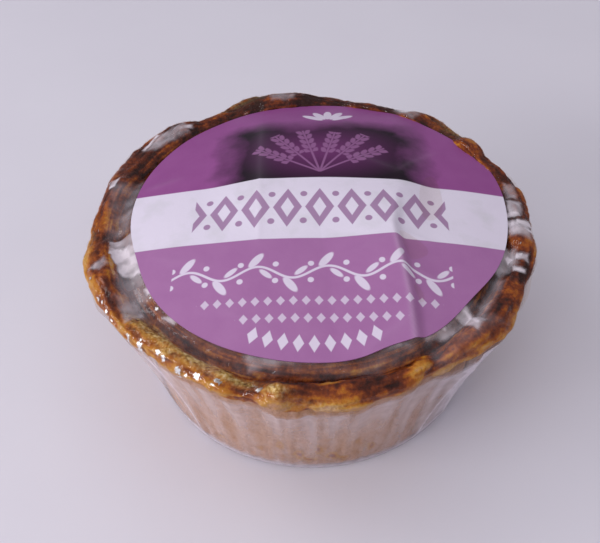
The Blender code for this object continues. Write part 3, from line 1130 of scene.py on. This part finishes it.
def film_material():
    """Return the clear film: see-through, glossy, milky where it is creased, and painted pale as
    reflections on the facets.
    """
    material, tree, veil = new_material("clear_film")
    veil.inputs["Base Color"].default_value = srgb(227, 217, 227)
    veil.inputs["Roughness"].default_value = 0.35
    weight = tree.nodes.new("ShaderNodeLayerWeight")
    weight.inputs["Blend"].default_value = 0.5
    facing = Value(tree, weight.outputs["Facing"])
    ripple = (grain(tree, 3.0) * 1.5 + 0.25).larger(0.1)
    # The pale veil is milky film and, on the creased facets, painted reflection.
    whiteness = stored(tree, "film_pallor") * (ripple + facing.math("POWER", 3.0) * 1.6)
    surface = mixed(tree, whiteness.smaller(0.92), film_skin(tree, facing), veil)
    tree.links.new(surface.outputs[0], tree.nodes["Material Output"].inputs["Surface"])
    return material


def mixed(tree, share, first, second):
    """Return a shader a share of the way from the first to the second."""
    node = tree.nodes.new("ShaderNodeMixShader")
    feed(tree, share, node.inputs["Fac"])
    tree.links.new(first.outputs[0], node.inputs[1])
    tree.links.new(second.outputs[0], node.inputs[2])
    return node


def oval(across, up, half_width, half_height):
    """Return a rough distance in millimetres from an oval round the origin, below 0 inside it."""
    wide = across / half_width
    tall = up / half_height
    return ((wide * wide + tall * tall).math("SQRT") - 1.0) * min(half_width, half_height)


def lozenge(across, up, half_width, half_height):
    """Return a rough distance in millimetres from a lozenge round the origin."""
    return (abs(across) / half_width + abs(up) / half_height - 1.0) * min(half_width, half_height)


def band_ornament(across, up):
    """Return the ink of a row of lozenges on the pale band."""
    place = across.wrap(8.2)
    frame_ink = lozenge(place, up, 3.7, 6.2).inked()
    hollow = lozenge(place, up, 1.7, 3.1).inked()
    between = (across + 4.1).wrap(8.2)
    dots = oval(between, abs(up) - 4.3, 0.9, 0.9).inked()
    row = (frame_ink - hollow).larger(dots)
    return row * (abs(across) - 32.5).inked()


def vine(across, up):
    """Return the ink of a wavy stem with a leaf at each bend and a berry between."""
    turn = across * (math.tau / VINE_WAVE)
    slope = turn.math("COSINE") * (VINE_SWING * math.tau / VINE_WAVE)
    steepness = (slope * slope + 1.0).math("SQRT")
    stem = (abs(up - turn.math("SINE") * VINE_SWING) / steepness - 0.32).inked()
    side = turn.math("SINE").math("SIGN")
    place = (across - 0.25 * VINE_WAVE).wrap(0.5 * VINE_WAVE)
    leaf_across, leaf_up = turned(place + 0.6, up * side - 3.6, 52.0)
    leaves = oval(leaf_across, leaf_up, 2.6, 1.0).inked()
    twig_across, twig_up = turned(place - 1.9, up * side + 0.4, -40.0)
    twigs = oval(twig_across, twig_up, 1.9, 0.7).inked()
    berries = oval(across.wrap(0.5 * VINE_WAVE), abs(up) - 2.4, 0.75, 0.75).inked()
    return stem.larger(leaves).larger(twigs).larger(berries) * (abs(across) - 34.0).inked()


def speckled_rule(across, up, reach):
    """Return the ink of a row of small lozenges that stands for a thin ornamental rule."""
    return lozenge(across.wrap(3.0), up, 1.05, 1.25).inked() * (abs(across) - reach).inked()


def arched_bars(across, up, radius, spread):
    """Return the ink of small bars that stand along the sheet's lower edge."""
    out = (across * across + up * up).math("SQRT")
    along = across.math("ARCTAN2", up * -1.0) * radius
    bars = lozenge(along.wrap(3.6), out - radius, 1.3, 2.1).inked()
    return bars * (abs(along) - spread).inked()


def largest(values):
    """Return the largest of several values."""
    return functools.reduce(Value.larger, values)


def petals(across, up):
    """Return the ink of a fan of five petals."""
    inks = []
    for step in range(-2, 3):
        along, beside = turned(across, up, 90.0 + 27.0 * step)
        inks.append(oval(along - 5.4, beside, 3.6, 1.2).inked())
    return largest(inks)


def wheat_ear(across, up, lean, length):
    """Return the ink of one ear of wheat that grows from the origin and leans."""
    along, beside = turned(across, up, 90.0 - lean)
    stem = (abs(beside) - 0.3).inked() * (along - length).inked() * (along * -1.0).inked()
    kernel_along, kernel_beside = turned(along.wrap(2.5), abs(beside) - 1.15, 24.0)
    kernels = oval(kernel_along, kernel_beside, 1.5, 0.72).inked(0.3)
    kernels = kernels * (along - length).inked() * (along * -1.0 + 0.45 * length).inked()
    return stem.larger(kernels)


def wheat_sheaf(across, up):
    """Return the ink of a fan of wheat ears."""
    ears = ((-58, 21), (-36, 22), (-14, 21), (12, 20), (35, 22), (57, 21))
    return largest([wheat_ear(across, up, lean, length) for lean, length in ears])


def printed_fields(tree, across, up):
    """Return the print's fields: violet over mauve, a dark soft-edged panel and a pale band."""
    mottle = grain(tree, 6.0)
    violet = blend(tree, mottle, srgb(140, 70, 136), srgb(151, 84, 147))
    mauve = blend(tree, mottle, srgb(158, 102, 157), srgb(170, 117, 168))
    cloudy = (grain(tree, 9.0, detail=4.0) - 0.5) * 14.0
    sides = (abs(across - 1.5) + cloudy).ramp(31.0, 21.0)
    panel = sides * (up + cloudy * 0.5).ramp(36.0, 28.0) * up.ramp(0.0, 1.0)
    glow = oval(across - 1.5, up - 18.0, 17.0, 10.0).ramp(5.0, -8.0)
    sheaf = wheat_sheaf(across - 1.0, up - 8.0) * panel.ramp(0.2, 0.7)
    band = (abs(up + 4.85) - 10.3).inked(0.3)
    greasy = (grain(tree, 8.0, detail=5.0) - 0.5).ramp(0.02, 0.2) * 0.35
    layers = (
        (panel, srgb(24, 3, 22)),
        (glow * 0.6, srgb(128, 56, 124)),
        (sheaf * 0.8, srgb(148, 98, 146)),
        (band, blend(tree, greasy, srgb(224, 216, 234), srgb(194, 194, 198))),
    )
    field = blend(tree, (up + 15.2).inked(0.4), violet, mauve)
    for share, colour in layers:
        field = blend(tree, share, field, colour)
    return field


def pale_marks(across, up):
    """Return the ink of the pale ornaments: a vine, two rules, bars along the edge, and petals."""
    return largest((
        vine(across + 1.0, up + 25.5),
        speckled_rule(across - 1.0, up + 33.6, 29.0) * 0.75,
        speckled_rule(across - 1.5, up + 38.2, 20.0) * 0.75,
        arched_bars(across, up, 44.6, 16.5),
        petals(across - 3.0, up - 34.5),
    ))


def label_material():
    """Return the printed paper, worn and painted paler as a highlight along its fold, with plain
    ornaments.
    """
    material, tree, surface = new_material("printed_paper")
    x, y, height = object_place(tree)
    across, up = label_frame(x, y)
    layers = (
        (band_ornament(across - 1.0, up + 5.2) * 0.85, srgb(150, 106, 152)),
        (pale_marks(across, up) * 0.85, srgb(228, 220, 238)),
        # Paler along the fold and creases: worn print and a painted highlight.
        (stored(tree, "wear_and_highlight") * 0.6, srgb(222, 204, 226)),
    )
    field = printed_fields(tree, across, up)
    for share, colour in layers:
        field = blend(tree, share, field, colour)
    feed(tree, field, surface.inputs["Base Color"])
    surface.inputs["Roughness"].default_value = 0.42
    surface.inputs["Specular IOR Level"].default_value = 0.35
    raise_surface(tree, surface, grain(tree, 1.6, detail=4.0), 0.05)
    return material


def floor_material():
    """Return the plain pale surface that the pie stands on."""
    material, tree, surface = new_material("pale_floor")
    tone = blend(tree, grain(tree, 60.0), srgb(222, 219, 230), srgb(216, 212, 224))
    feed(tree, tone, surface.inputs["Base Color"])
    surface.inputs["Roughness"].default_value = 0.5
    return material


# The stage


def make_floor():
    """Make the plain pale floor."""
    mesh = bpy.data.meshes.new("floor")
    ends = ((-1, -1), (1, -1), (1, 1), (-1, 1))
    corners = [(side * FLOOR_HALF, end * FLOOR_HALF, FLOOR_LEVEL) for side, end in ends]
    mesh.from_pydata(corners, [], [(0, 1, 2, 3)])
    floor = bpy.data.objects.new("floor", mesh)
    bpy.context.scene.collection.objects.link(floor)
    floor.data.materials.append(floor_material())


def make_light(name, place, size, power, colour, in_gloss):
    """Add a soft rectangular light that points at the pie."""
    lamp = bpy.data.lights.new(name, "AREA")
    lamp.shape = "RECTANGLE"
    lamp.size, lamp.size_y = size
    lamp.energy = power
    lamp.color = colour
    light = bpy.data.objects.new(name, lamp)
    light.location = place
    aim = Vector(LIGHT_TARGET) - Vector(place)
    light.rotation_euler = aim.to_track_quat("-Z", "Y").to_euler()
    light.visible_glossy = in_gloss
    bpy.context.scene.collection.objects.link(light)


def make_studio():
    """Light the pie softly, mostly from above and from the left, with a strip that gives the glints."""
    for light in LIGHTS:
        make_light(*light)
    world = bpy.data.worlds.new("studio")
    world.use_nodes = True
    sky = world.node_tree.nodes["Background"]
    sky.inputs["Color"].default_value = (0.80, 0.79, 0.88, 1.0)
    sky.inputs["Strength"].default_value = 0.30
    bpy.context.scene.world = world
    bpy.context.scene.view_settings.view_transform = "Standard"


def make_camera():
    """Put the camera where the photograph was taken from."""
    forward = Vector(CAMERA_FORWARD).normalized()
    right = forward.cross(Vector(CAMERA_UP)).normalized()
    up = right.cross(forward)
    camera = bpy.data.objects.new("camera", bpy.data.cameras.new("camera"))
    turn = Matrix((right, up, -forward)).transposed().to_4x4()
    camera.matrix_world = Matrix.Translation(Vector(CAMERA_PLACE) * MM) @ turn
    camera.data.sensor_width = SENSOR_WIDTH
    camera.data.lens = CAMERA_LENS
    camera.data.clip_start = 0.01
    bpy.context.scene.collection.objects.link(camera)
    bpy.context.scene.camera = camera


def dress(piece, material, slot, *nodes):
    """Give a piece its material and its place in the frame."""
    piece.data.materials.append(material)
    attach(piece, "root")
    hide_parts(*nodes)


make_camera()
make_studio()
make_floor()
RIMS = [Rim(azimuth) for azimuth in round_trip(CRUST_STEPS)]
PLACES = crust_places()
RINGS, BAKES_AND_SHADES, CRUMBS = crust_rings(RIMS, PLACES)
dress(make_crust(RINGS, BAKES_AND_SHADES, CRUMBS), crust_material(), "pie_crust", "wrapped_pie")
dress(make_film(RIMS, crust_ridges(RINGS, PLACES)), film_material(), "clear_film", "wrapped_pie")
dress(make_label(), label_material(), "label_paper", "label")
